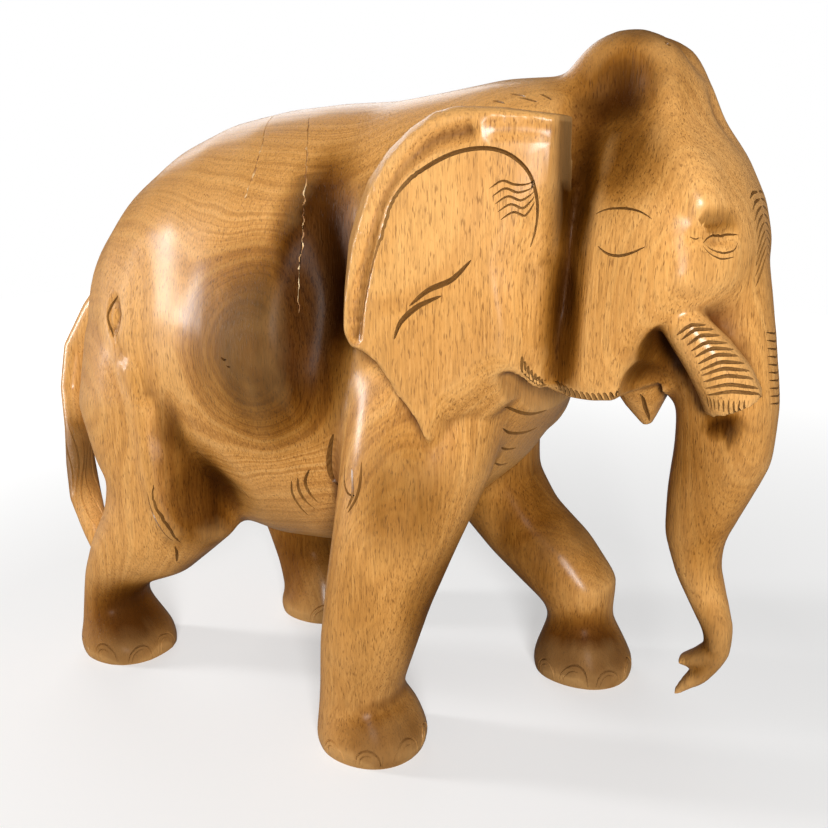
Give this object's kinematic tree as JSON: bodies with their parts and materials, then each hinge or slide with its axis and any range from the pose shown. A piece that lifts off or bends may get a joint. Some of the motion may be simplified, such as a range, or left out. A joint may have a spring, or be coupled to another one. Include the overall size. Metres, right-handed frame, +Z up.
{
  "type": "carved wooden elephant",
  "caption": "Solid carved hardwood elephant in a walking pose, with spread ears, hanging trunk, empty tusk sheaths and flat soles; a free-standing shelf figurine.",
  "frame": {"origin": "centre of the plan box, on the plane of the four soles", "axes": "+X towards the trunk, +Y to the animal's left, +Z up"},
  "size_m": [0.3184, 0.1358, 0.2511],
  "materials": {
    "varnished_hardwood": "hand-carved single block of teak-like hardwood under a thin semi-gloss amber varnish",
    "pale_filler": "matt pale wood filler pressed into a drying check and rubbed level"
  },
  "bodies": {
    "root": {"carved_block": "varnished_hardwood", "check_filler_back": "pale_filler", "check_filler_flank": "pale_filler"}
  },
  "joints": []
}
